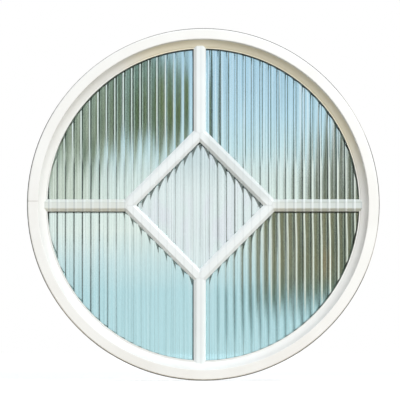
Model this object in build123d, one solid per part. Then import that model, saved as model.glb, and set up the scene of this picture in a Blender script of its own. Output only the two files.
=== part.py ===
from build123d import *
import math
import os

os.makedirs("parts", exist_ok=True)

# A fixed round window: a moulded timber ring, a sealed unit with one sheet of reeded glass, and a diamond
# lattice of bars on both faces of the unit and between its sheets.
# The ring stands upright in the XZ plane, its weather side faces -Y and +Z is up.
# The origin is the centre of the ring at half its depth. All sizes are in millimetres.

# Frame ring, measured inwards from its outer edge and back from its face
frame_diameter = 600.0
face_width = 17.2
cove_width = 13.0
cove_depth = 16.0
step_width = 1.2
step_depth = 3.0
hollow_sag = 1.3
lip_width = 2.4
lip_setback = 1.2
lip_thickness = 4.0
quirk_width = 1.0
quirk_depth = 1.0
outer_arris = 2.0
face_arris = 0.8
back_arris = 1.5

# Perimeter seal in its groove
seal_setback = 4.0
seal_width = 6.0
seal_groove_depth = 3.0
seal_proud = 1.2
seal_arris = 0.8
seal_clearance = 0.1

# Sealed unit
reeded_thickness = 6.0
reed_pitch = 14.45
reed_rise = 1.6
reed_offset = -4.1
cavity_width = 16.0
clear_thickness = 4.0
edge_cover = 11.0
edge_gap = 4.0
sealant_width = 4.5
spacer_width = 6.5
sealant_clearance = 0.05

# Gaskets on both sides of the unit
gasket_thickness = 2.0
gasket_show = 0.8
gasket_hidden_width = 8.0
gasket_arris = 0.5

# Glazing beads and their screws
bead_depth = 16.0
bead_toe = 4.0
bead_splay = 6.0
bead_setback = 2.8
bead_clearance = 0.2
bead_joint_gap = 0.3
bead_arris = 0.8
bead_count = 4
screws_per_bead = 3
screw_head_radius = 2.6
screw_head_height = 1.6
screw_shank_radius = 1.3
screw_tip_length = 3.0
screw_bite = 10.0
screw_slot_width = 0.7
screw_slot_depth = 0.7
screw_slot_overrun = 1.0
screw_clearance = 0.1

# Blocks between the unit and the rebate
block_length = 50.0
block_clearance = 0.1
setting_block_angle = 30.0

# Lattice
lattice_shift_x = -6.1
lattice_shift_z = -1.6
diamond_half_width = 123.4
diamond_half_height = 123.4
bar_width = 20.8
bar_height = 8.4
bar_bevel_width = 5.0
bar_bevel_height = 3.5
bar_lap = 4.3
bedding_thickness = 0.6
bedding_setback = 2.0
mitre_gap = 0.2
scribe_gap = 0.2
same_direction = 1e-6
inner_bar_width = 12.0
inner_bar_gap = 0.8
inner_bar_chamfer = 1.0

# Radii, from the outer edge inwards
frame_radius = frame_diameter / 2
face_radius = frame_radius - face_width
cove_radius = face_radius - cove_width
lip_radius = cove_radius - lip_width
gasket_radius = lip_radius - gasket_show
unit_radius = lip_radius + edge_cover
rebate_radius = unit_radius + edge_gap
spacer_outer_radius = unit_radius - sealant_width
spacer_inner_radius = spacer_outer_radius - spacer_width

# Depths, from the face to the back
glazing_depth = reeded_thickness + cavity_width + clear_thickness + 2 * gasket_thickness
frame_depth = cove_depth + lip_setback + lip_thickness + glazing_depth + bead_depth + bead_setback
face_y = -frame_depth / 2
back_y = frame_depth / 2
cove_y = face_y + cove_depth
lip_y = cove_y + lip_setback
shoulder_y = lip_y + lip_thickness
reeded_front_y = shoulder_y + gasket_thickness
reeded_back_y = reeded_front_y + reeded_thickness
clear_front_y = reeded_back_y + cavity_width
clear_back_y = clear_front_y + clear_thickness
bead_front_y = clear_back_y + gasket_thickness
bead_back_y = bead_front_y + bead_depth


def eased(face, size, *corners, shape=chamfer):
    """Take the named corners of a flat section off, by a chamfer or by a fillet."""
    picked = [face.vertices().sort_by_distance((x, y, 0))[0] for x, y in corners]
    return shape(picked, size)


def rectangle(inner, outer, near, far):
    """A rectangular section between two radii and two depths."""
    return make_face(Polyline((inner, near), (outer, near), (outer, far), (inner, far), close=True))


def ring(section):
    """Turn a section, drawn as radius and depth, about the axis of the window."""
    return revolve(section, Axis.Y)


def sector(section, angle, span):
    """A stretch of a ring, centred at an angle that is counted from +X towards +Z."""
    return Rot(0, -(angle + span / 2), 0) * revolve(section, Axis.Y, span)


def disc(radius, near, far):
    """A round plate between two depths."""
    return ring(rectangle(0, radius, near, far))


def moulding(gap):
    """The moulding from the face down to the quirk: a short steep step, then a shallow hollow."""
    step_radius = face_radius - step_width
    step_y = face_y + step_depth - gap
    foot_y = cove_y - gap
    run = step_radius - cove_radius
    drop = foot_y - step_y
    inwards = hollow_sag / math.hypot(run, drop)
    middle = ((step_radius + cove_radius) / 2 + drop * inwards, (step_y + foot_y) / 2 + run * inwards)
    step = Line((face_radius, face_y), (step_radius, step_y))
    return step + ThreePointArc((step_radius, step_y), middle, (cove_radius, foot_y))


# Frame ring and perimeter seal

seal_front_y = face_y + seal_setback
seal_back_y = seal_front_y + seal_width
groove_radius = frame_radius - seal_groove_depth


def frame_section():
    outline = Polyline(
        (cove_radius, cove_y),
        (cove_radius, lip_y + quirk_depth),
        (cove_radius - quirk_width, lip_y + quirk_depth),
        (cove_radius - quirk_width, lip_y),
        (lip_radius, lip_y),
        (lip_radius, shoulder_y),
        (rebate_radius, shoulder_y),
        (rebate_radius, back_y),
        (frame_radius, back_y),
        (frame_radius, seal_back_y),
        (groove_radius, seal_back_y),
        (groove_radius, seal_front_y),
        (frame_radius, seal_front_y),
        (frame_radius, face_y),
        (face_radius, face_y),
    )
    section = make_face(outline + moulding(0))
    section = eased(section, outer_arris, (frame_radius, face_y), shape=fillet)
    section = eased(section, back_arris, (frame_radius, back_y))
    return eased(section, face_arris, (face_radius, face_y))


def perimeter_seal():
    outer = frame_radius + seal_proud
    near = seal_front_y + seal_clearance
    far = seal_back_y - seal_clearance
    section = rectangle(groove_radius + seal_clearance, outer, near, far)
    return ring(eased(section, seal_arris, (outer, near), (outer, far)))


# Sealed unit: reeded sheet, spacer, sealant and clear sheet


def reeded_pane():
    """Convex reeds side by side, their crests at the front of the sheet, cut to a disc."""
    valley_y = reeded_front_y + reed_rise
    first = math.floor((-unit_radius - reed_offset) / reed_pitch)
    last = math.ceil((unit_radius - reed_offset) / reed_pitch)
    reeds = []
    for index in range(first, last):
        left = reed_offset + index * reed_pitch
        right = left + reed_pitch
        crest = (left + reed_pitch / 2, reeded_front_y)
        reeds.append(ThreePointArc((left, valley_y), crest, (right, valley_y)))
    left_end = reed_offset + first * reed_pitch
    right_end = reed_offset + last * reed_pitch
    back = Polyline(
        (left_end, valley_y),
        (left_end, reeded_back_y),
        (right_end, reeded_back_y),
        (right_end, valley_y),
    )
    section = make_face([*reeds, *back.edges()])
    sheet = extrude(section, unit_radius, both=True)
    return sheet & disc(unit_radius, reeded_front_y - reed_rise, reeded_back_y)


def clear_pane():
    return disc(unit_radius, clear_front_y, clear_back_y)


def spacer_ring():
    return ring(rectangle(spacer_inner_radius, spacer_outer_radius, reeded_back_y, clear_front_y))


def edge_sealant():
    inner = spacer_outer_radius + sealant_clearance
    return ring(rectangle(inner, unit_radius, reeded_back_y, clear_front_y))


def gasket(near, far, shown_y):
    """A glazing gasket whose inner edge shows inside the lip or the beads."""
    section = rectangle(gasket_radius, lip_radius + gasket_hidden_width, near, far)
    return ring(eased(section, gasket_arris, (gasket_radius, shown_y)))


# Beads, screws and blocks at the back

splay_depth = bead_depth - bead_toe
splay_length = math.hypot(bead_splay, splay_depth)
screw_out = splay_depth / splay_length
screw_in = bead_splay / splay_length
screw_seat = (lip_radius + bead_splay / 2, bead_back_y - splay_depth / 2)
screw_length = (rebate_radius - screw_seat[0]) / screw_out + screw_bite
bead_angles = [index * 360 / bead_count for index in range(bead_count)]
screw_pitch = 360 / (bead_count * screws_per_bead)
screw_angles = [index * screw_pitch for index in range(bead_count * screws_per_bead)]


def screw_blank(clearance):
    """A countersunk screw about its own axis, or the hole for it when it is given a clearance."""
    head = screw_head_radius + clearance
    shank = screw_shank_radius + clearance
    end = screw_length + clearance
    outline = Polyline(
        (0, 0),
        (head, 0),
        (shank, screw_head_height),
        (shank, end - screw_tip_length),
        (0, end),
        close=True,
    )
    return revolve(Plane.XZ * make_face(outline), Axis.Z)


def at_screws(shape):
    """Copies of a shape at every screw, square to the splay of the beads."""
    x, y = screw_seat
    seat = Plane(origin=(x, y, 0), x_dir=(0, 0, 1), z_dir=(screw_out, -screw_in, 0))
    return [Rot(0, -angle, 0) * seat.location * shape for angle in screw_angles]


def bead_screws():
    slot = Box(2 * screw_head_radius + screw_slot_overrun, screw_slot_width, 2 * screw_slot_depth)
    return Compound(children=at_screws(screw_blank(0) - slot))


def glazing_bead(angle, holes):
    outer = rebate_radius - bead_clearance
    outline = Polyline(
        (lip_radius, bead_front_y),
        (outer, bead_front_y),
        (outer, bead_back_y),
        (lip_radius + bead_splay, bead_back_y),
        (lip_radius, bead_front_y + bead_toe),
        close=True,
    )
    section = eased(
        make_face(outline),
        bead_arris,
        (lip_radius + bead_splay, bead_back_y),
        (lip_radius, bead_front_y + bead_toe),
    )
    span = 360 / bead_count - math.degrees(bead_joint_gap / lip_radius)
    return sector(section, angle, span) - holes


def block(angle):
    section = rectangle(
        unit_radius + block_clearance,
        rebate_radius - block_clearance,
        reeded_front_y,
        clear_back_y,
    )
    return sector(section, angle, math.degrees(block_length / unit_radius))


# Lattice: a bar runs out from each corner of the diamond, and every joint is mitred


def corner_points():
    """The corners of the diamond, on the centre lines of its bars, as points in the XZ plane."""
    centre = Vector(lattice_shift_x, 0, lattice_shift_z)
    return {
        "top": centre + Vector(0, 0, diamond_half_height),
        "right": centre + Vector(diamond_half_width, 0, 0),
        "bottom": centre - Vector(0, 0, diamond_half_height),
        "left": centre - Vector(diamond_half_width, 0, 0),
    }


outward = {
    "top": Vector(0, 0, 1),
    "right": Vector(1, 0, 0),
    "bottom": Vector(0, 0, -1),
    "left": Vector(-1, 0, 0),
}
diamond_sides = {
    "upper_left": ("left", "top"),
    "upper_right": ("top", "right"),
    "lower_right": ("right", "bottom"),
    "lower_left": ("bottom", "left"),
}


def meeting_at(corner):
    """The directions of the three bars that meet at a corner, each pointing away from it."""
    corners = corner_points()
    sides = [side for side in diamond_sides.values() if corner in side]
    others = [side[0] if side[1] == corner else side[1] for side in sides]
    return [outward[corner]] + [(corners[other] - corners[corner]).normalized() for other in others]


def mitred(bar, corner, direction, base_y):
    """Cut a bar at a corner along the planes that halve the angles to its neighbours."""
    point = corner_points()[corner] + Vector(0, base_y, 0)
    for other in meeting_at(corner):
        if (other - direction).length > same_direction:
            normal = (direction - other).normalized()
            cut = Plane(origin=point + normal * (mitre_gap / 2), z_dir=normal)
            bar = split(bar, bisect_by=cut, keep=Keep.TOP)
    return bar


def prism(section, start, direction, length, base_y, facing):
    """A section run along a bar's centre line, its height pointing to facing (-1 front, +1 back)."""
    side = Vector(direction.Z, 0, -direction.X) * facing
    begin = start - direction * bar_width + Vector(0, base_y, 0)
    plane = Plane(origin=begin, x_dir=side, z_dir=direction)
    return extrude(plane * section, length + 2 * bar_width)


def lattice(section, base_y, facing, end_trim):
    """The eight bars of one layer, keyed by their place."""
    corners = corner_points()
    bars = {}
    for corner, direction in outward.items():
        bar = prism(section, corners[corner], direction, frame_radius, base_y, facing)
        bars["bar_" + corner] = end_trim(mitred(bar, corner, direction, base_y))
    for place, (first, second) in diamond_sides.items():
        run = corners[second] - corners[first]
        direction = run.normalized()
        bar = prism(section, corners[first], direction, run.length, base_y, facing)
        bar = mitred(bar, first, direction, base_y)
        bars["diamond_" + place] = mitred(bar, second, -direction, base_y)
    return bars


def bevelled_section():
    """The section of an applied bar: a flat back, short sides, two bevels and a flat front."""
    half = bar_width / 2
    flat = half - bar_bevel_width
    side = bar_height - bar_bevel_height
    outline = Polyline(
        (-half, 0),
        (half, 0),
        (half, side),
        (flat, bar_height),
        (-flat, bar_height),
        (-half, side),
        close=True,
    )
    return make_face(outline)


def inner_section():
    """The section of a spacer bar between the sheets."""
    depth = cavity_width - 2 * inner_bar_gap
    box = Pos(0, depth / 2) * Rectangle(inner_bar_width, depth)
    return chamfer(box.vertices(), inner_bar_chamfer)


def scribe():
    """The moulding, gasket and everything behind them, grown by the gap that a scribed bar keeps."""
    outline = Polyline(
        (cove_radius, cove_y - scribe_gap),
        (cove_radius - scribe_gap, cove_y - scribe_gap),
        (cove_radius - scribe_gap, lip_y - scribe_gap),
        (lip_radius - scribe_gap, lip_y - scribe_gap),
        (lip_radius - scribe_gap, shoulder_y - scribe_gap),
        (gasket_radius - scribe_gap, shoulder_y - scribe_gap),
        (gasket_radius - scribe_gap, reeded_back_y),
        (frame_radius, reeded_back_y),
        (frame_radius, face_y),
        (face_radius, face_y),
    )
    return ring(make_face(outline + moulding(scribe_gap)))


def front_bars():
    """Bars on the reeded sheet, whose outer ends are scribed over the lip and stop in the cove."""
    lapped = disc(lip_radius + bar_lap, face_y, reeded_front_y)
    rim = scribe()
    base_y = reeded_front_y - bedding_thickness
    return lattice(bevelled_section(), base_y, -1, lambda bar: (bar & lapped) - rim)


def rear_bars():
    """Bars on the clear sheet, which stop at the gasket of the beads."""
    field = disc(gasket_radius - scribe_gap, clear_back_y, back_y)
    return lattice(bevelled_section(), clear_back_y + bedding_thickness, 1, lambda bar: bar & field)


def inner_bars():
    """Bars between the sheets, which stop at the spacer."""
    field = disc(spacer_inner_radius - scribe_gap, reeded_back_y, clear_front_y)
    return lattice(inner_section(), reeded_back_y + inner_bar_gap, 1, lambda bar: bar & field)


def bedding(near, far):
    """One bead of sealant under all the bars of a face, between two depths, set back from their edges."""
    corners = corner_points()
    runs = [(corners[place], direction * frame_radius) for place, direction in outward.items()]
    runs += [(corners[first], corners[second] - corners[first]) for first, second in diamond_sides.values()]
    width = bar_width - 2 * bedding_setback
    strips = []
    for start, run in runs:
        plane = Plane(origin=start, x_dir=run.normalized(), z_dir=(0, 1, 0))
        flat = plane * Pos(run.length / 2, 0) * Rectangle(run.length, width)
        strips.append(Pos(0, near, 0) * extrude(flat, far - near))
    joined = strips[0].fuse(*strips[1:]).clean()
    return joined & disc(gasket_radius - scribe_gap, near, far)


def all_parts():
    holes = at_screws(screw_blank(screw_clearance))
    parts = {
        "outer_frame": ring(frame_section()) - holes,
        "perimeter_seal": perimeter_seal(),
        "front_gasket": gasket(shoulder_y, reeded_front_y, shoulder_y),
        "reeded_pane": reeded_pane(),
        "front_bar_bedding": bedding(reeded_front_y - bedding_thickness, reeded_front_y),
        "rear_bar_bedding": bedding(clear_back_y, clear_back_y + bedding_thickness),
        "spacer_ring": spacer_ring(),
        "edge_sealant": edge_sealant(),
        "clear_pane": clear_pane(),
        "rear_gasket": gasket(clear_back_y, bead_front_y, bead_front_y),
        "bead_screws": bead_screws(),
        "setting_block_left": block(-90 - setting_block_angle),
        "setting_block_right": block(-90 + setting_block_angle),
        "location_block_left": block(180),
        "location_block_right": block(0),
        "location_block_top": block(90),
    }
    for place, angle in zip(("right", "top", "left", "bottom"), bead_angles):
        parts["glazing_bead_" + place] = glazing_bead(angle, holes)
    for layer, bars in (("front", front_bars()), ("inner", inner_bars()), ("rear", rear_bars())):
        for place, bar in bars.items():
            parts[layer + "_" + place] = bar
    return parts


for name, shape in all_parts().items():
    export_step(shape, "parts/" + name + ".step")
    print(name, round(shape.volume, 1))
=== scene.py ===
import math

import bpy
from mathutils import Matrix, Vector


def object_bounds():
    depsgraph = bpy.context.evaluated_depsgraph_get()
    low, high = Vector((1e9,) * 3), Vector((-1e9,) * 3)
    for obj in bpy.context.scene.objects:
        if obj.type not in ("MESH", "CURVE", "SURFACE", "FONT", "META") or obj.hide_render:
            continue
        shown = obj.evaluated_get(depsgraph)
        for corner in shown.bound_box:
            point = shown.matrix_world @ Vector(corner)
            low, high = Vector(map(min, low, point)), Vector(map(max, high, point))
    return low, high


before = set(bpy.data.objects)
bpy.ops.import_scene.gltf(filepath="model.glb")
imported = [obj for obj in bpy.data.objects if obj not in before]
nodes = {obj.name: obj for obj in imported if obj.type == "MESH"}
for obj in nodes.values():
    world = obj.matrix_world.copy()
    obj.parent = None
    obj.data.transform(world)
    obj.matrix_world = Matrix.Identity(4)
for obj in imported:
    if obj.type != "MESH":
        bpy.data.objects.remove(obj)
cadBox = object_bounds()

# A round window with a diamond lattice over reeded glass, seen from the weather side.
# All finishes are painted in the window's own space: x to the right, z up, counted in millimetres.
# In the dictionaries an Across, Up or Top pair is the x or z where a fade begins and where it is full, a Line
# is its middle and its half width, a Strength pair is the least and the most, and relief is in metres.

scene = bpy.context.scene
scene.view_settings.view_transform = "Standard"
millimetres = 1000.0
plainWhite = (1.0, 1.0, 1.0, 1.0)
print("frame loaded:", len(nodes), "pieces")


def tint(red, green, blue):
    # a colour as it looks on a screen, 0 to 255, as the shader wants it
    def linear(value):
        share = value / 255
        return share / 12.92 if share <= 0.04045 else ((share + 0.055) / 1.055) ** 2.4
    return (linear(red), linear(green), linear(blue), 1.0)


def between(ends, share):
    # from the first end to the second
    return ends[0] + share * (ends[1] - ends[0])


def past(edge, pair):
    # a pair that is counted from an edge
    return [edge + offset for offset in pair]


class Wire:
    # a socket that can stand in a sum
    def __init__(self, finish, socket):
        self.finish = finish
        self.socket = socket

    def work(self, operation, *values):
        return self.finish.node("ShaderNodeMath", {"operation": operation}, dict(enumerate(values)))

    def __add__(self, other):
        return self.work("ADD", self, other)

    def __radd__(self, other):
        return self.work("ADD", other, self)

    def __sub__(self, other):
        return self.work("SUBTRACT", self, other)

    def __rsub__(self, other):
        return self.work("SUBTRACT", other, self)

    def __mul__(self, other):
        return self.work("MULTIPLY", self, other)

    def __rmul__(self, other):
        return self.work("MULTIPLY", other, self)

    def __truediv__(self, other):
        return self.work("DIVIDE", self, other)

    def __rtruediv__(self, other):
        return self.work("DIVIDE", other, self)

    def __abs__(self):
        return self.work("ABSOLUTE", self)

    def fraction(self):
        return self.work("FRACT", self)

    def floor(self):
        return self.work("FLOOR", self)

    def root(self):
        return self.work("SQRT", self)

    def most(self, other):
        return self.work("MAXIMUM", self, other)


# How every line and cloud is painted
brush = {
    "lineCore": 0.35,  # the share of a line's half width that is painted in full
    "cloudDetail": 3.0,
    "cloudSpan": (0.35, 0.7),
}


class Finish:
    # one material, or the surround: its nodes, and the surface that they feed
    def __init__(self, name, owner=None):
        self.owner = owner or bpy.data.materials.new(name)
        self.owner.use_nodes = True
        self.tree = self.owner.node_tree
        self.tree.nodes.clear()

    def node(self, kind, settings=None, inputs=None, output=0):
        made = self.tree.nodes.new(kind)
        for name, value in (settings or {}).items():
            if name == "stops":
                self.setStops(made.color_ramp, value)
            else:
                setattr(made, name, value)
        for key, value in (inputs or {}).items():
            if isinstance(value, Wire):
                self.tree.links.new(value.socket, made.inputs[key])
            else:
                made.inputs[key].default_value = value
        return Wire(self, made.outputs[output]) if made.outputs else made

    def setStops(self, ramp, stops):
        while len(ramp.elements) < len(stops):
            ramp.elements.new(1.0)
        for element, (position, colour) in zip(ramp.elements, stops):
            element.position = position
            element.color = colour

    def space(self):
        # the point on the piece, in millimetres
        where = self.node("ShaderNodeTexCoord", output="Object")
        return self.node("ShaderNodeVectorMath", {"operation": "SCALE"}, {0: where, "Scale": millimetres})

    def axes(self, point, letters):
        return [self.node("ShaderNodeSeparateXYZ", inputs={0: point}, output=letter) for letter in letters]

    def point(self, x, y, z):
        return self.node("ShaderNodeCombineXYZ", inputs={0: x, 1: y, 2: z})

    def fade(self, value, low, high):
        # 0 at low, 1 at high, smooth between them
        settings = {"interpolation_type": "SMOOTHSTEP"}
        return self.node("ShaderNodeMapRange", settings, {"Value": value, "From Min": low, "From Max": high})

    def line(self, value, middle, halfWidth):
        # 1 where value is at the middle, fading out on both sides
        return self.fade(abs(value - middle), halfWidth, halfWidth * brush["lineCore"])

    def mix(self, factor, first, second):
        return self.node("ShaderNodeMix", {"data_type": "RGBA"}, {0: factor, 6: first, 7: second}, output=2)

    def times(self, first, second):
        settings = {"data_type": "RGBA", "blend_type": "MULTIPLY"}
        return self.node("ShaderNodeMix", settings, {0: 1.0, 6: first, 7: second}, output=2)

    def blend(self, factor, first, second):
        # from one shader to another
        return self.node("ShaderNodeMixShader", inputs={0: factor, 1: first, 2: second})

    def angle(self, x, z):
        # round the ring in degrees, 0 at the right, 90 at the top
        return self.node("ShaderNodeMath", {"operation": "ARCTAN2"}, {0: z, 1: x}) * (180.0 / math.pi)

    def noise(self, point, scale, detail=2.0, roughness=0.5):
        inputs = {"Vector": point, "Scale": scale, "Detail": detail, "Roughness": roughness}
        return self.node("ShaderNodeTexNoise", inputs=inputs)

    def clouds(self, point, scale):
        # broad soft patches
        return self.fade(self.noise(point, scale, brush["cloudDetail"]), *brush["cloudSpan"])

    def bump(self, height, relief):
        return self.node("ShaderNodeBump", inputs={"Height": height, "Distance": relief})

    def surface(self, **sockets):
        # each socket by its name, with _ for a space
        inputs = {name.replace("_", " "): value for name, value in sockets.items()}
        self.end(self.node("ShaderNodeBsdfPrincipled", inputs=inputs))

    def end(self, shader):
        self.node("ShaderNodeOutputMaterial", inputs={"Surface": shader})


def wear(finish, *names):
    # the named pieces take this finish
    for name in names:
        slots = nodes[name].data.materials
        slots.clear()
        slots.append(finish.owner)
        for polygon in nodes[name].data.polygons:
            polygon.material_index = 0


def named(*starts):
    return [name for name in sorted(nodes) if name.startswith(starts)]


# Camera: level with the lower part of the ring, looking slightly up at it, from far off
cameraLook = {
    "target": (-0.0056, -0.035, 0.00705),
    "distance": 8.0,
    "elevation": -1.8,
    "sensor": 36.0,
    "widthSeen": 0.68292,
    "farthest": 200.0,
}


def makeCamera(look):
    data = bpy.data.cameras.new("camera")
    data.sensor_width = look["sensor"]
    data.lens = look["sensor"] * look["distance"] / look["widthSeen"]
    data.clip_end = look["farthest"]
    camera = bpy.data.objects.new("camera", data)
    scene.collection.objects.link(camera)
    rise = math.radians(look["elevation"])
    back = Vector((0, -math.cos(rise), math.sin(rise)))
    camera.location = Vector(look["target"]) + back * look["distance"]
    camera.rotation_euler = (-back).to_track_quat("-Z", "Y").to_euler()
    scene.camera = camera


makeCamera(cameraLook)
print("camera placed")


# Studio: a pale floor under the ring, a white surround and one large soft lamp from the right and above
studioLook = {
    "floorSize": 60.0,
    "floorWarm": tint(172, 156, 128),  # what the floor throws back at the window near it, and farther off
    "floorPale": tint(172, 172, 172),
    "warmReach": (0.8, 2.0),
    "floorWhite": tint(180, 180, 180),  # how the floor itself looks, with a glow near the window and far off
    "glowNear": 0.62,
    "glowFar": 0.86,
    "glowReach": (1.5, 7.0),
    "surround": (0.62, 0.65, 0.69, 1.0),
    "lampSize": 2.4,
    "lampPower": 254.0,
    "lampDistance": 6.0,
    "lampFrom": (0.42, -0.77, 0.48),
    "lampColour": (1.0, 1.0, 1.0),
}


def straightView(finish):
    # 1 for what the camera sees itself, in a reflection or through glass
    seen = [finish.node("ShaderNodeLightPath", output=kind)
            for kind in ("Is Camera Ray", "Is Glossy Ray", "Is Transmission Ray")]
    return seen[0].most(seen[1]).most(seen[2])


def makeFloor(look, height):
    half = look["floorSize"] / 2
    corners = [(-half, -half, height), (half, -half, height), (half, half, height), (-half, half, height)]
    mesh = bpy.data.meshes.new("floor")
    mesh.from_pydata(corners, [], [(0, 1, 2, 3)])
    floor = bpy.data.objects.new("floor", mesh)
    scene.collection.objects.link(floor)
    finish = Finish("floor")
    where = finish.node("ShaderNodeTexCoord", output="Object")
    away = finish.node("ShaderNodeVectorMath", {"operation": "LENGTH"}, {0: where}, output=1)
    warm, pale, white = [finish.node("ShaderNodeBsdfDiffuse", inputs={"Color": look[name]})
                         for name in ("floorWarm", "floorPale", "floorWhite")]
    ground = finish.blend(finish.fade(away, *look["warmReach"]), warm, pale)
    # the far floor gets no lamp light, so it is lifted to white
    near, far = [finish.node("ShaderNodeEmission", inputs={"Strength": look[name]})
                 for name in ("glowNear", "glowFar")]
    glow = finish.blend(finish.fade(away, *look["glowReach"]), near, far)
    bright = finish.node("ShaderNodeAddShader", inputs={0: white, 1: glow})
    finish.end(finish.blend(straightView(finish), ground, bright))
    mesh.materials.append(finish.owner)


def makeSurround(look):
    world = bpy.data.worlds.new("surround")
    scene.world = world
    finish = Finish("surround", world)
    soft = finish.node("ShaderNodeBackground", inputs={"Color": look["surround"]})
    white = finish.node("ShaderNodeBackground", inputs={"Color": plainWhite})
    both = finish.blend(straightView(finish), soft, white)
    finish.node("ShaderNodeOutputWorld", inputs={"Surface": both})


def makeLamp(look):
    data = bpy.data.lights.new("lamp", "AREA")
    data.shape = "DISK"
    data.size = look["lampSize"]
    data.energy = look["lampPower"]
    data.color = look["lampColour"]
    lamp = bpy.data.objects.new("lamp", data)
    scene.collection.objects.link(lamp)
    direction = Vector(look["lampFrom"]).normalized()
    lamp.location = direction * look["lampDistance"]
    lamp.rotation_euler = (-direction).to_track_quat("-Z", "Y").to_euler()


makeFloor(studioLook, cadBox[0].z)
makeSurround(studioLook)
makeLamp(studioLook)
print("studio lit")


# Where the lattice and the lip stand, read from the frame
across, upward = 0, 2
gasketHidden = 8.0  # what the lip covers of the front gasket


def reach(name, axis):
    values = [vertex.co[axis] * millimetres for vertex in nodes[name].data.vertices]
    return min(values), max(values)


def middleOf(name, axis):
    low, high = reach(name, axis)
    return (low + high) / 2


latticeX = middleOf("front_bar_top", across)
latticeZ = middleOf("front_bar_left", upward)
barHalf = reach("front_bar_top", across)[1] - latticeX
diamondHalf = latticeX - reach("front_diamond_upper_left", across)[0] - barHalf / math.sqrt(2)
lipRadius = reach("front_gasket", across)[1] - gasketHidden
print("lattice at", round(latticeX, 2), round(latticeZ, 2), "half", round(barHalf, 2), round(diamondHalf, 2))

# Where the reeds stand, as the glass was rolled
reedPitch = 14.45
firstReed = -4.1


def reedsAlong(x):
    # counted in reeds, and whole on a valley
    return (x - firstReed) / reedPitch


def pastValley(reeds):
    # millimetres to the right of the nearest valley
    return ((reeds + 0.5).fraction() - 0.5) * reedPitch


# Painted timber: the ring, the beads and the lattice bars
ringPaint = {
    "colour": tint(244, 245, 243),
    "shade": tint(239, 239, 236),
    "cloudScale": 0.012,
    "hollowShade": tint(244, 236, 208),  # painted warm shade in the hollow under the head, which faces down
    "hollowShadeRadius": (282.0, 280.5),
    "hollowShadeAcross": (-170.0, -70.0),
    "hollowShadeUp": (20.0, 130.0),
    "hollowShadeStrength": 0.8,
    "joint": tint(150, 148, 142),  # the hairline where the ring's two halves were joined
    "jointAcross": (-280.0, -284.0),
    "jointLine": (5.2, 1.2),
    "jointStrength": 0.35,
    "roughness": (0.34, 0.46),
    "grain": (0.9, 4.0, 0.6),  # scale, detail and roughness of the noise
    "relief": 0.00006,
}


def paintRing(look):
    finish = Finish("ring paint")
    space = finish.space()
    x, z = finish.axes(space, "XZ")
    patches = finish.clouds(space, look["cloudScale"])
    colour = finish.mix(patches, look["colour"], look["shade"])
    # painted warm shade over the upper part of the hollow
    hollow = finish.fade((x * x + z * z).root(), *look["hollowShadeRadius"])
    head = finish.fade(z, *look["hollowShadeUp"]) * finish.fade(x, *look["hollowShadeAcross"])
    colour = finish.mix(hollow * head * look["hollowShadeStrength"], colour, look["hollowShade"])
    joint = finish.line(z, *look["jointLine"]) * finish.fade(x, *look["jointAcross"])
    colour = finish.mix(joint * look["jointStrength"], colour, look["joint"])
    finish.surface(
        Base_Color=colour,
        Roughness=between(look["roughness"], patches),
        Normal=finish.bump(finish.noise(space, *look["grain"]), look["relief"]),
    )
    wear(finish, "outer_frame")


barPaint = {
    "colour": tint(235, 241, 242),
    "shade": tint(227, 233, 234),
    "cloudScale": 0.02,
    "shadeStrength": 0.5,
    "roughness": (0.36, 0.46),
    "grain": (1.1, 4.0, 0.6),
    "relief": 0.00006,
}
# Painted shade on the level bars, most on the right, and on the upper right bar of the diamond, with more
# painted shade on the level bars' upper bevel and foot. A Height pair is counted from the middle of the level
# bars.
barLightAndShade = {
    "level": tint(216, 222, 217),
    "levelRight": tint(206, 214, 211),
    "levelAcross": (118.0, 136.0),  # to each side of the lattice's middle
    "levelHeight": (22.0, 12.0),
    "rightAcross": (110.0, 190.0),
    "bevel": tint(186, 194, 188),
    "bevelHeight": (3.0, 4.6),
    "bevelStrength": (0.25, 1.0),
    "foot": tint(206, 206, 192),
    "footRight": tint(188, 192, 180),
    "footHeight": (-3.4, -6.0),
    "footStrength": (0.7, 1.0),
    "slope": tint(214, 221, 221),
    "slopeAcross": (-2.0, 12.0),
    "slopeUp": (2.0, 16.0),
    "slopeTop": (128.0, 112.0),
    # painted shade lines where the reeds' valleys fall across the bars, and painted light between them on the
    # level bars
    "print": tint(176, 184, 186),
    "reedShadeLine": (0.0, 1.7),
    "reedShadeStrength": 0.16,
    "reedShadeLevel": (0.1, 0.7),  # so much more on the level bars, by reed
    "reedShadeStep": 0.73,  # from reed to reed through the noise
    "light": barPaint["colour"],
    "lightLine": (3.4, 2.2),
    "lightStrength": (0.3, 0.7),
}


def shadeBars(finish, space, colour, look):
    fade, mix = finish.fade, finish.mix
    x, z = finish.axes(space, "XZ")
    right = fade(x, *look["rightAcross"])
    height = z - latticeZ
    # painted shade: the level bars darker, most on the right, and darker still on their upper bevel and their
    # foot
    level = fade(abs(x - latticeX), *look["levelAcross"]) * fade(abs(height), *look["levelHeight"])
    colour = mix(level, colour, mix(right, look["level"], look["levelRight"]))
    bevel = fade(height, *look["bevelHeight"]) * level
    colour = mix(bevel * between(look["bevelStrength"], right), colour, look["bevel"])
    foot = fade(height, *look["footHeight"]) * level
    footColour = mix(right, look["foot"], look["footRight"])
    colour = mix(foot * between(look["footStrength"], right), colour, footColour)
    # painted shade on the upper right bar of the diamond
    slope = fade(x, *look["slopeAcross"]) * fade(z, *look["slopeUp"]) * fade(z, *look["slopeTop"])
    colour = mix(slope, colour, look["slope"])
    # painted shade lines of the reeds across the bars, and painted light between them on the level bars
    reeds = reedsAlong(x)
    uneven = finish.noise(finish.point((reeds + 0.5).floor() * look["reedShadeStep"], 0.0, 0.0), 1.0, 1.0)
    strength = look["reedShadeStrength"] + level * between(look["reedShadeLevel"], uneven)
    colour = mix(finish.line(pastValley(reeds), *look["reedShadeLine"]) * strength, colour, look["print"])
    light = finish.line(pastValley(reeds), *look["lightLine"]) * level
    return mix(light * between(look["lightStrength"], right), colour, look["light"])


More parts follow.
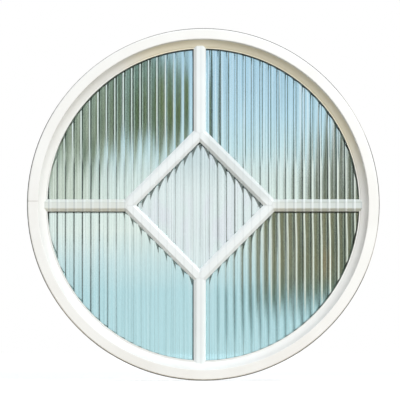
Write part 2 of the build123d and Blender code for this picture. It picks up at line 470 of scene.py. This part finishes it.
def paintBars(name, look, shadeLook, *pieces):
    finish = Finish(name)
    space = finish.space()
    patches = finish.clouds(space, look["cloudScale"])
    colour = finish.mix(patches * look["shadeStrength"], look["colour"], look["shade"])
    if shadeLook:
        colour = shadeBars(finish, space, colour, shadeLook)
    finish.surface(
        Base_Color=colour,
        Roughness=between(look["roughness"], patches),
        Normal=finish.bump(finish.noise(space, *look["grain"]), look["relief"]),
    )
    wear(finish, *pieces)


paintRing(ringPaint)
paintBars("front bar paint", barPaint, barLightAndShade, *named("front_bar_", "front_diamond_"))
paintBars("rear bar paint", barPaint, None, *named("rear_bar_", "rear_diamond_", "glazing_bead_"))
print("timber painted")


# Inner spacer bars: powder-coated metal
barCoating = {
    "colour": tint(232, 233, 232),
    "shade": tint(222, 224, 224),
    "speckleScale": 1.6,
    "roughness": (0.42, 0.54),
    "relief": 0.00004,
}


def coatInnerBars(look):
    finish = Finish("inner bar coating")
    speckle = finish.noise(finish.space(), look["speckleScale"])
    finish.surface(
        Base_Color=finish.mix(speckle, look["colour"], look["shade"]),
        Roughness=between(look["roughness"], speckle),
        Normal=finish.bump(speckle, look["relief"]),
    )
    wear(finish, *named("inner_bar_", "inner_diamond_"))


coatInnerBars(barCoating)
print("inner bars coated")


# The seal round the ring: dark rubber, smeared with paint where its line all but vanishes
sealRubber = {
    "colour": tint(82, 82, 78),
    "shade": tint(98, 97, 92),
    "cloudScale": 0.06,
    "smear": tint(190, 188, 180),
    "smearLines": ((128.0, 36.0), (30.0, 12.0), (-14.0, 12.0), (-140.0, 16.0)),  # in degrees round the ring
    "smearStrength": (0.7, 1.0),
    "roughness": (0.62, 0.72),
    "grain": (2.2, 3.0, 0.6),
    "relief": 0.00008,
}


def coatSeal(look):
    finish = Finish("seal rubber")
    space = finish.space()
    x, z = finish.axes(space, "XZ")
    angle = finish.angle(x, z)
    cloud = finish.clouds(space, look["cloudScale"])
    rubber = finish.mix(cloud, look["colour"], look["shade"])
    smears = [finish.line(angle, *smearLine) for smearLine in look["smearLines"]]
    smeared = smears[0]
    for smear in smears[1:]:
        smeared = smeared.most(smear)
    finish.surface(
        Base_Color=finish.mix(smeared * between(look["smearStrength"], cloud), rubber, look["smear"]),
        Roughness=between(look["roughness"], cloud),
        Normal=finish.bump(finish.noise(space, *look["grain"]), look["relief"]),
    )
    wear(finish, "perimeter_seal")


coatSeal(sealRubber)


# Rubber, foam, sealant and plastic
softFinishes = {
    "gasket rubber": {
        "colour": tint(164, 168, 163), "shade": tint(178, 182, 177), "cloudScale": 0.08,
        "roughness": (0.58, 0.68), "grain": (2.6, 3.0, 0.6), "relief": 0.00005,
        "pieces": ("front_gasket", "rear_gasket"),
    },
    "spacer foam": {
        "colour": tint(226, 228, 227), "shade": tint(206, 209, 208), "cloudScale": 0.3,
        "roughness": (0.86, 0.96), "grain": (3.5, 3.0, 0.6), "relief": 0.00022,
        "pieces": ("spacer_ring",),
    },
    "edge sealant": {
        "colour": tint(40, 41, 43), "shade": tint(58, 58, 60), "cloudScale": 0.05,
        "roughness": (0.48, 0.58), "grain": (0.7, 3.0, 0.6), "relief": 0.00025,
        "pieces": ("edge_sealant",),
    },
    "bedding sealant": {
        "colour": tint(186, 190, 186), "shade": tint(168, 173, 169), "cloudScale": 0.04,
        "roughness": (0.5, 0.6), "grain": (0.9, 3.0, 0.6), "relief": 0.0001,
        "pieces": ("front_bar_bedding", "rear_bar_bedding"),
    },
    "block plastic": {
        "colour": tint(58, 96, 132), "shade": tint(70, 108, 142), "cloudScale": 0.09,
        "roughness": (0.44, 0.54), "grain": (2.0, 3.0, 0.6), "relief": 0.00008,
        "pieces": ("setting_block_left", "setting_block_right", "location_block_left",
                   "location_block_right", "location_block_top"),
    },
}


def coatSoft(name, look):
    finish = Finish(name)
    space = finish.space()
    cloud = finish.clouds(space, look["cloudScale"])
    finish.surface(
        Base_Color=finish.mix(cloud, look["colour"], look["shade"]),
        Roughness=between(look["roughness"], cloud),
        Normal=finish.bump(finish.noise(space, *look["grain"]), look["relief"]),
    )
    wear(finish, *look["pieces"])


for name, look in softFinishes.items():
    coatSoft(name, look)


# Zinc-plated steel of the bead screws
screwSteel = {
    "colour": tint(196, 197, 194),
    "shade": tint(166, 165, 158),
    "cloud": (0.8, 3.0),  # scale and detail of the noise
    "roughness": (0.26, 0.46),
    "grain": (6.0, 2.0),
    "relief": 0.00003,
}


def plateScrews(look):
    finish = Finish("screw steel")
    space = finish.space()
    cloud = finish.noise(space, *look["cloud"])
    finish.surface(
        Base_Color=finish.mix(cloud, look["colour"], look["shade"]),
        Metallic=1.0,
        Roughness=between(look["roughness"], cloud),
        Normal=finish.bump(finish.noise(space, *look["grain"]), look["relief"]),
    )
    wear(finish, "bead_screws")


plateScrews(screwSteel)
print("seals, spacer, blocks and screws finished")


# Reeded glass. The trees, the sky and the water-blue light behind it are part of its look, so they are
# painted into the sheet. Each reed squeezes a wide stretch of that view, so they are read at a shifted place.
# A Drift is noise drawn out upright: its steps across and up, its layer, its detail and its roughness. A
# Reeds pair picks reeds by such noise, an Along pair is a share of one reed, and a Line is counted from
# the valley.
viewLook = {
    "squeeze": 110.0,  # how far the view slides past one reed
    "barStep": 11.0,  # how far the edges of the bars and the rim jump between reeds
    "rimStep": 1.5,
    "unevenDrift": (0.73, 0.006, 0.0, 2.0),
    "livelyDrift": (0.91, 0.002, 3.0, 1.0),
    "livelyReeds": (0.3, 0.7),
    "diamondEdge": (1.5, -2.5),  # counted from the diamond's corners
    "aboveUp": (-4.0, 2.0),
}


class ReedView:
    def __init__(self, finish, look):
        self.finish = finish
        self.fade = finish.fade
        self.mix = finish.mix
        self.x, self.y, self.z = finish.axes(finish.space(), "XYZ")
        reeds = reedsAlong(self.x)
        self.along = reeds.fraction()
        self.toValley = pastValley(reeds)
        # the view slides quickly past each reed, and its edges slide most beside the valleys
        self.seenX = self.x + (self.along - 0.5) * look["squeeze"]
        side = self.along * 2.0 - 1.0
        self.barX = self.x + side * (abs(side) * 0.5 + 0.5) * look["barStep"]
        self.rimX = self.x + side * look["rimStep"]
        # every reed differs a little from the next, and slowly from its head to its foot
        number = (reeds + 0.5).floor()
        self.uneven = self.drift(number, *look["unevenDrift"])
        self.lively = self.fade(self.drift(number, *look["livelyDrift"]), *look["livelyReeds"])
        lattice = abs(self.x - latticeX) + abs(self.z - latticeZ)
        self.inside = self.fade(lattice, *past(diamondHalf, look["diamondEdge"]))
        self.outside = 1.0 - self.inside
        self.above = self.fade(self.z, *look["aboveUp"])
        self.below = 1.0 - self.above
        self.colour = None

    def drift(self, place, stepAcross, stepUp, layer, detail, roughness=0.5):
        point = self.finish.point(place * stepAcross, layer, self.z * stepUp)
        return self.finish.noise(point, 1.0, detail, roughness)

    def lay(self, strength, colour):
        self.colour = self.mix(strength, self.colour, colour)

    def valley(self, middle, halfWidth):
        # a line along every valley, its middle to the right or left of it
        return self.finish.line(self.toValley, middle, halfWidth)


# The open view, from the foot of the window to its head
openView = {
    "stops": [
        (-265.0, tint(192, 228, 234)),
        (-150.0, tint(193, 227, 233)),
        (-95.0, tint(211, 234, 236)),
        (-45.0, tint(232, 244, 239)),
        (10.0, tint(228, 242, 237)),
        (50.0, tint(222, 238, 236)),
        (100.0, tint(206, 234, 241)),
        (150.0, tint(197, 229, 243)),
        (210.0, tint(188, 222, 240)),
        (265.0, tint(182, 218, 238)),
    ],
    "ragged": 40.0,
    "green": tint(205, 215, 200),  # towards the left edge
    "greenAcross": (-150.0, -225.0),
    "greenStrength": 0.8,
    "paleLow": tint(234, 244, 245),  # in the diamond
    "paleHigh": tint(210, 225, 229),
    "paleUp": (10.0, 105.0),
    "paleStrength": 0.9,
    "lilac": tint(236, 236, 246),
    "lilacDrift": (0.03, 0.012, 9.0, 1.0),
    "lilacSpan": (0.45, 0.65),
    "lilacStrength": 0.6,
}


def paintOpenView(view, look):
    foot, head = look["stops"][0][0], look["stops"][-1][0]
    ramp = [((height - foot) / (head - foot), colour) for height, colour in look["stops"]]
    share = (view.z + (view.uneven - 0.5) * look["ragged"] - foot) / (head - foot)
    view.colour = view.finish.node("ShaderNodeValToRGB", {"stops": ramp}, {0: share})
    green = view.fade(view.x, *look["greenAcross"]) * view.above
    view.lay(green * look["greenStrength"], look["green"])
    pale = view.mix(view.fade(view.z, *look["paleUp"]), look["paleLow"], look["paleHigh"])
    lilac = view.fade(view.drift(view.x, *look["lilacDrift"]), *look["lilacSpan"])
    pale = view.mix(lilac * look["lilacStrength"], pale, look["lilac"])
    view.lay(view.inside * look["paleStrength"], pale)


# The tall trees behind the left half, above the level bar
leftTrees = {
    "edgeAcross": (4.0, -38.0),
    "footUp": (40.0, 114.0),
    "footSlide": 60.0,  # the foot climbs along each reed, is ragged, and falls away to the left
    "footRagged": 90.0,
    "footSlope": 0.12,
    "headUp": (244.0, 190.0),
    "headSlope": 0.5,
    "headStrength": (0.35, 1.0),
    "barUp": (4.0, 8.0),
    "low": tint(172, 184, 164),
    "body": tint(92, 114, 86),
    "bodyUp": (55.0, 150.0),
    "high": tint(116, 144, 134),
    "highUp": (165.0, 230.0),
    "far": tint(162, 176, 158),
    "farAcross": (-110.0, -200.0),
    "farStrength": 0.75,
    "olive": tint(104, 120, 62),  # beside the upright bar
    "oliveAcross": (-130.0, -60.0),
    "oliveUp": (120.0, 165.0),
    "oliveTop": (235.0, 200.0),
    "oliveReeds": (0.4, 0.6),
    "oliveStrength": 0.7,
    "light": tint(144, 172, 166),
    "lightReeds": (0.5, 0.3),
    "lightStrength": 0.55,
    "dark": tint(78, 100, 74),
    "darkReeds": (0.52, 0.7),
    "darkStrength": 0.5,
    "thicket": (-124.0, 60.0),  # its middle and half width
    "hollow": tint(70, 88, 76),
    "hollowLine": (-4.8, 1.7),
    "hollowStrength": (0.3, 0.8),
    "grey": tint(84, 108, 98),
    "greyLine": (-1.2, 0.9),
    "greyStrength": 0.6,
    "bright": tint(246, 255, 255),
    "brightLine": (-3.05, 1.35),
    "brightStrength": (0.85, 1.0),
    "milky": tint(196, 214, 208),
    "milkyLine": (1.4, 1.1),
    "milkyStrength": (0.1, 0.7),
    "fartherAcross": (-50.0, -110.0),
    "valley": tint(58, 78, 70),
    "valleyLine": (-0.3, 1.35),
    "valleyStrength": (0.25, 0.95),
    "besideLine": (3.4, 1.2),
    "besideStrength": 0.5,
    "besideLoss": 0.2,
}


def paintLeftTrees(view, look):
    x, z, uneven, fade, mix = view.x, view.z, view.uneven, view.fade, view.mix
    ragged = (uneven - 0.5) * look["footRagged"]
    footZ = z - view.along * look["footSlide"] + ragged - x * look["footSlope"]
    head = fade(z + x * look["headSlope"], *look["headUp"])
    trees = fade(view.seenX, *look["edgeAcross"]) * fade(footZ, *look["footUp"])
    trees = trees * between(look["headStrength"], head) * view.outside * fade(z, *look["barUp"])
    shade = mix(fade(z, *look["bodyUp"]), look["low"], look["body"])
    shade = mix(fade(z, *look["highUp"]), shade, look["high"])
    shade = mix(fade(x, *look["farAcross"]) * look["farStrength"], shade, look["far"])
    # some reeds are olive, some lighter and some darker than the rest
    olive = fade(x, *look["oliveAcross"]) * fade(z, *look["oliveUp"]) * fade(z, *look["oliveTop"])
    shade = mix(olive * fade(uneven, *look["oliveReeds"]) * look["oliveStrength"], shade, look["olive"])
    for name in ("light", "dark"):
        some = fade(uneven, *look[name + "Reeds"]) * look[name + "Strength"]
        shade = mix(some, shade, look[name])
    thicket = view.finish.line(x, *look["thicket"])
    # painted shade along one side of each valley, strongest in the thicket
    hollow = view.valley(*look["hollowLine"]) * between(look["hollowStrength"], thicket)
    view.lay(trees, mix(hollow, shade, look["hollow"]))
    # the bright and dark lines along each reed
    view.lay(view.valley(*look["greyLine"]) * trees * look["greyStrength"], look["grey"])
    bright = view.valley(*look["brightLine"]) * trees
    view.lay(bright * between(look["brightStrength"], view.lively), look["bright"])
    milky = view.valley(*look["milkyLine"]) * trees * between(look["milkyStrength"], thicket)
    view.lay(milky * (0.5 + uneven), look["milky"])
    farther = fade(x, *look["fartherAcross"])
    valley = view.valley(*look["valleyLine"]) * trees
    view.lay(valley * between(look["valleyStrength"], farther), look["valley"])
    beside = view.valley(*look["besideLine"]) * trees
    view.lay(beside * (look["besideStrength"] - farther * look["besideLoss"]), look["grey"])


# The trees behind the right half: a narrow stretch above the level bar, a wide one below it
rightTrees = {
    "upperAcross": (140.0, 222.0),
    "upperFrom": 40.0,  # above this height their edge leans to the right
    "upperLean": 0.6,
    "lowerAcross": (62.0, 128.0),
    "lowerUp": (-206.0, -140.0),
    "lowerSlope": 0.1,
    "lowerSlide": 26.0,
    "lowerRagged": 70.0,
    "foot": tint(96, 128, 120),
    "body": tint(124, 128, 100),
    "bodyUp": (-190.0, -90.0),
    "high": tint(130, 140, 126),
    "highUp": (-20.0, 40.0),
    "far": tint(90, 96, 76),
    "farAcross": (190.0, 262.0),
    "farStrength": 0.5,
    "lightLow": tint(172, 178, 162),  # each reed goes from light on its left to dark on its right
    "lightHigh": tint(196, 206, 196),
    "lightAlong": (0.62, 0.22),
    "lightStrength": 0.6,
    "dark": tint(76, 84, 66),
    "darkAlong": (0.55, 0.95),
    "darkStrength": 0.4,
    "brown": tint(142, 126, 90),
    "brownReeds": (0.48, 0.66),
    "brownAcross": (120.0, 190.0),
    "brownUp": (-150.0, -100.0),
    "brownTop": (30.0, -20.0),
    "brownStrength": 0.6,
    "deep": tint(92, 96, 72),
    "deepReeds": (0.5, 0.32),
    "deepStrength": 0.4,
    "nearAcross": (120.0, 200.0),
    "nearTop": (150.0, 90.0),
    "gleam": tint(246, 252, 242),
    "gleamPlace": (3.5, 4.8),  # farther from the valley towards the foot
    "gleamPlaceUp": (-10.0, -70.0),
    "gleamWidth": (1.95, 0.4),
    "gleamAcross": (40.0, 90.0),
    "gleamUp": (-222.0, -165.0),
    "gleamStrength": (0.7, 1.0),
    "milky": tint(172, 184, 172),
    "milkyLine": (-1.3, 1.2),
    "milkyStrength": (0.2, 0.7),
    "valley": tint(66, 74, 56),
    "valleyLine": (0.8, 1.5),
    "valleyStrength": 0.95,
    "tips": tint(110, 152, 156),  # towards the foot the trees thin out to darker reed edges
    "tipsLine": (0.2, 4.6),
    "tipsAcross": (6.0, 40.0),
    "tipsUp": (-262.0, -200.0),
    "tipsTop": (-120.0, -165.0),
    "tipsStrength": 0.5,
}


def paintRightTrees(view, look):
    x, z, along, uneven, fade, mix = view.x, view.z, view.along, view.uneven, view.fade, view.mix
    lean = (z - look["upperFrom"]).most(0.0) * look["upperLean"]
    upper = fade(view.seenX - lean, *look["upperAcross"]) * view.above
    ragged = (uneven - 0.5) * look["lowerRagged"]
    footZ = z - x * look["lowerSlope"] + along * look["lowerSlide"] + ragged
    lower = fade(view.seenX, *look["lowerAcross"]) * view.below * fade(footZ, *look["lowerUp"])
    trees = upper.most(lower) * view.outside
    shade = mix(fade(z, *look["bodyUp"]), look["foot"], look["body"])
    shade = mix(fade(z, *look["highUp"]), shade, look["high"])
    shade = mix(fade(x, *look["farAcross"]) * look["farStrength"], shade, look["far"])
    light = mix(view.above, look["lightLow"], look["lightHigh"])
    shade = mix(fade(along, *look["lightAlong"]) * look["lightStrength"], shade, light)
    shade = mix(fade(along, *look["darkAlong"]) * look["darkStrength"], shade, look["dark"])
    brown = fade(uneven, *look["brownReeds"]) * fade(x, *look["brownAcross"])
    brown = brown * fade(z, *look["brownTop"]) * fade(z, *look["brownUp"])
    shade = mix(brown * look["brownStrength"], shade, look["brown"])
    shade = mix(fade(uneven, *look["deepReeds"]) * look["deepStrength"], shade, look["deep"])
    view.lay(trees, shade)
    near = trees.most(fade(x, *look["nearAcross"]) * fade(z, *look["nearTop"]) * view.above)
    place = between(look["gleamPlace"], fade(z, *look["gleamPlaceUp"]))
    gleam = fade(abs(view.toValley - place), *look["gleamWidth"]) * fade(x, *look["gleamAcross"])
    gleam = gleam * fade(z, *look["gleamUp"]) * near
    view.lay(gleam * between(look["gleamStrength"], view.lively), look["gleam"])
    milky = view.valley(*look["milkyLine"]) * near
    view.lay(milky * between(look["milkyStrength"], uneven), look["milky"])
    view.lay(view.valley(*look["valleyLine"]) * near * look["valleyStrength"], look["valley"])
    tips = view.below * fade(x, *look["tipsAcross"]) * fade(z, *look["tipsTop"]) * fade(z, *look["tipsUp"])
    view.lay(view.valley(*look["tipsLine"]) * tips * look["tipsStrength"], look["tips"])


# Over the sky, wide dark lines beside the upright bar and pairs of thin ones farther out
skyLines = {
    "skyAcross": (-6.0, 6.0),
    "skyUp": (60.0, 90.0),
    "widePlace": 4.0,
    "wideHalf": (1.3, 3.2),
    "wideCore": 0.2,
    "wideMiddle": (168.0, 130.0),  # where they are widest, and how far up and down that reaches
    "wideAcross": (64.0, 14.0),
    "wideFar": tint(92, 124, 128),
    "wideNear": tint(52, 78, 68),
    "nearAcross": (110.0, 30.0),
    "wideStrength": (0.65, 1.0),
    "thin": tint(80, 108, 110),
    "thinLine": (-0.2, 1.15),
    "thinAcross": (40.0, 80.0),
    "thinStrength": (0.1, 0.75),
}


def paintSkyLines(view, look):
    x, z, fade = view.x, view.z, view.fade
    sky = fade(x, *look["skyAcross"]) * fade(z, *look["skyUp"]) * view.outside
    bulge = view.finish.line(z, *look["wideMiddle"]) * fade(x, *look["wideAcross"])
    half = between(look["wideHalf"], bulge)
    wide = fade(abs(view.toValley - look["widePlace"]), half, half * look["wideCore"]) * sky
    tone = view.mix(fade(x, *look["nearAcross"]), look["wideFar"], look["wideNear"])
    view.lay(wide * between(look["wideStrength"], view.lively), tone)
    thin = view.valley(*look["thinLine"]) * sky
    view.lay(thin * between(look["thinStrength"], fade(x, *look["thinAcross"])), look["thin"])


# Over the pale parts, a dark line at each valley, stronger to the far left and in the right half, and two
# faint grey ones beside it
paleLines = {
    "farLeftAcross": (-130.0, -180.0),
    "paleTop": (90.0, 60.0),
    "paleUp": (-110.0, -60.0),
    "paleLeast": (0.35, 0.85),
    "dark": tint(32, 50, 46),
    "darkStrength": 0.3,
    "leftAcross": (-110.0, -185.0),
    "leftMore": 0.7,
    "rightAcross": (-5.0, 40.0),
    "rightMore": 0.55,
    "livelyMore": 0.3,
    "placeAcross": (-20.0, 40.0),
    "placeSlide": 0.5,
    "placeStart": 0.25,
    "placeLeft": 0.2,
    "darkHalf": (1.3, 1.6),
    "darkCore": 0.4,
    "leftGrey": tint(150, 172, 172),
    "leftGreyLine": (-2.6, 1.0),
    "leftGreyStrength": 0.45,
    "rightGrey": tint(166, 186, 186),
    "rightGreyLine": (2.2, 1.0),
    "rightGreyStrength": 0.3,
}


def paintPaleLines(view, look):
    x, z, fade = view.x, view.z, view.fade
    farLeft = fade(x, *look["farLeftAcross"])
    pale = fade(z, *look["paleTop"]).most(view.inside)
    pale = pale * fade(z, *look["paleUp"]).most(between(look["paleLeast"], farLeft))
    strength = look["darkStrength"] + fade(x, *look["leftAcross"]) * look["leftMore"]
    strength = strength + fade(x, *look["rightAcross"]) * look["rightMore"]
    strength = strength + (view.lively - 0.5) * look["livelyMore"]
    place = fade(x, *look["placeAcross"]) * look["placeSlide"] - look["placeStart"]
    place = place - farLeft * look["placeLeft"]
    dark = fade(abs(view.toValley - place), between(look["darkHalf"], farLeft), look["darkCore"])
    view.lay(dark * pale * strength, look["dark"])
    for name in ("leftGrey", "rightGrey"):
        grey = view.valley(*look[name + "Line"]) * pale
        view.lay(grey * (view.uneven * look[name + "Strength"]), look[name])


# Fine upright dark and light streaks painted over the view, weaker over the trees and at the foot
fineStreaks = {
    "streakDrift": (0.45, 0.003, 5.0, 2.0, 0.6),
    "leftAcross": (0.0, -20.0),
    "leftUp": (30.0, 80.0),
    "rightAcross": (40.0, 90.0),
    "rightUp": (10.0, -10.0),
    "footUp": (-70.0, -120.0),
    "dark": tint(60, 84, 82),
    "darkSpan": (0.5, 0.36),
    "darkStrength": 0.16,
    "darkLoss": 0.04,
    "light": tint(250, 255, 255),
    "lightSpan": (0.53, 0.66),
    "lightStrength": 0.4,
    "lightLoss": 0.3,
}


def paintStreaks(view, look):
    x, z, fade = view.x, view.z, view.fade
    # painted shade and painted light streaks
    streaks = view.drift(x, *look["streakDrift"])
    overLeft = fade(x, *look["leftAcross"]) * fade(z, *look["leftUp"])
    overRight = fade(x, *look["rightAcross"]) * fade(z, *look["rightUp"])
    weaker = overLeft.most(overRight).most(fade(z, *look["footUp"]))
    for name in ("dark", "light"):
        strength = look[name + "Strength"] - weaker * look[name + "Loss"]
        view.lay(fade(streaks, *look[name + "Span"]) * strength, look[name])


# Painted shade where the rim shuts out the light, most at the upper right, with a painted shade notch at each
# valley. The band and the notches are counted from the lip.
rimShade = {
    "sideAcross": 0.6,  # the direction of the darker side
    "sideUp": 0.8,
    "sideReach": (-150.0, 60.0),
    "band": tint(58, 74, 64),
    "bandReach": (-3.8, -2.0),
    "bandStrength": (0.08, 0.83),
    "notchShade": tint(52, 70, 60),
    "notchShadeLine": (0.4, 1.0),
    "notchShadeReach": (-17.0, -5.0),
    "notchShadeStrength": 0.9,
}


def paintRimShade(view, look):
    radius = (view.rimX * view.rimX + view.z * view.z).root()
    side = view.fade(view.z * look["sideUp"] + view.x * look["sideAcross"], *look["sideReach"])
    band = view.fade(radius, *past(lipRadius, look["bandReach"]))
    view.lay(band * between(look["bandStrength"], side), look["band"])
    # painted shade notches hanging at each valley below the rim
    notchShade = view.valley(*look["notchShadeLine"]) * view.fade(radius, *past(lipRadius, look["notchShadeReach"]))
    view.lay(notchShade * side * look["notchShadeStrength"], look["notchShade"])


# What the bars shut out, stepped from reed to reed. Edge pairs are counted from the side of a bar.
barShade = {
    "spare": 0.6,  # added to the half width of a bar
    "shut": tint(70, 82, 74),
    "shutStrength": 0.8,
    "innerEdge": (-1.2, 0.6),
    "innerUp": (-6.0, -1.0),
    "outerEdge": (2.0, 0.2),
    "outerUp": (2.0, -3.0),
    "outerStep": 1.4,  # under the lower bars the wedges are longer
    "cornerEdge": (6.0, 10.0),  # counted from the diamond's corners
    "uprightEdge": (-1.0, 0.4),
    "uprightAcross": (0.0, -4.0),
    "uprightStrength": 0.8,
    "level": tint(44, 46, 36),
    "levelEdge": (-3.2, -0.6),
    "levelUp": (4.0, 0.0),
    "rightAcross": (0.0, 20.0),
    "levelStrength": (0.8, 1.0),
}


def paintBarShade(view, look):
    x, z, fade = view.x, view.z, view.fade
    half = barHalf + look["spare"]
    aside, height = abs(x - latticeX), abs(z - latticeZ)

    def fromDiamond(place):
        return (abs(place - latticeX) + height - diamondHalf) / math.sqrt(2)

    lowerX = x + (view.barX - x) * look["outerStep"]
    inner = fade(fromDiamond(view.barX), *past(-half, look["innerEdge"])) * fade(z, *look["innerUp"])
    outer = fade(fromDiamond(lowerX), *past(half, look["outerEdge"])) * fade(z, *look["outerUp"])
    pastCorner = past(diamondHalf, look["cornerEdge"])
    upright = fade(x - latticeX, *past(-half, look["uprightEdge"])) * fade(x, *look["uprightAcross"])
    upright = upright * fade(height, *pastCorner)
    level = fade(z - latticeZ, *past(-half, look["levelEdge"])) * fade(z, *look["levelUp"])
    level = level * fade(aside, *pastCorner)
    shut = (inner * view.inside).most(outer * view.outside).most(upright * look["uprightStrength"])
    view.lay(shut * look["shutStrength"], look["shut"])
    view.lay(level * between(look["levelStrength"], fade(x, *look["rightAcross"])), look["level"])


# Both sheets. The clear one has the faint green of float glass.
reededGlass = {
    "weatherFace": (-6.5, -8.5),  # the y, between the two faces, where the paint begins and where it is full
    "roughness": 0.03,
    "ior": 1.25,  # lower than real glass, so that the bars behind don't show beside the front ones
}
clearGlass = {
    "colour": tint(248, 251, 250),
    "dusty": tint(243, 247, 246),
    "hazeScale": 0.01,
    "roughness": 0.01,
    "ior": 1.5,
}
glassShadow = (0.9, 0.93, 0.92, 1.0)


def glassShader(finish, colour, look):
    glass = finish.node("ShaderNodeBsdfPrincipled", inputs={
        "Base Color": colour,
        "Roughness": look["roughness"],
        "IOR": look["ior"],
        "Transmission Weight": 1.0,
    })
    clear = finish.node("ShaderNodeBsdfTransparent", inputs={"Color": glassShadow})
    shadow = finish.node("ShaderNodeLightPath", output="Is Shadow Ray")
    finish.end(finish.blend(shadow, glass, clear))


def paintReeds(look):
    finish = Finish("reeded glass")
    view = ReedView(finish, viewLook)
    paintOpenView(view, openView)
    paintLeftTrees(view, leftTrees)
    paintRightTrees(view, rightTrees)
    paintSkyLines(view, skyLines)
    paintPaleLines(view, paleLines)
    paintStreaks(view, fineStreaks)
    paintRimShade(view, rimShade)
    paintBarShade(view, barShade)
    # only the weather face is painted, twice over, because half of a colour counts at each face
    weatherFace = view.fade(view.y, *look["weatherFace"])
    painted = finish.mix(weatherFace, plainWhite, finish.times(view.colour, view.colour))
    glassShader(finish, painted, look)
    wear(finish, "reeded_pane")


def tintClear(look):
    finish = Finish("clear glass")
    haze = finish.noise(finish.space(), look["hazeScale"])
    glassShader(finish, finish.mix(haze, look["colour"], look["dusty"]), look)
    wear(finish, "clear_pane")


paintReeds(reededGlass)
tintClear(clearGlass)
print("glass tinted")
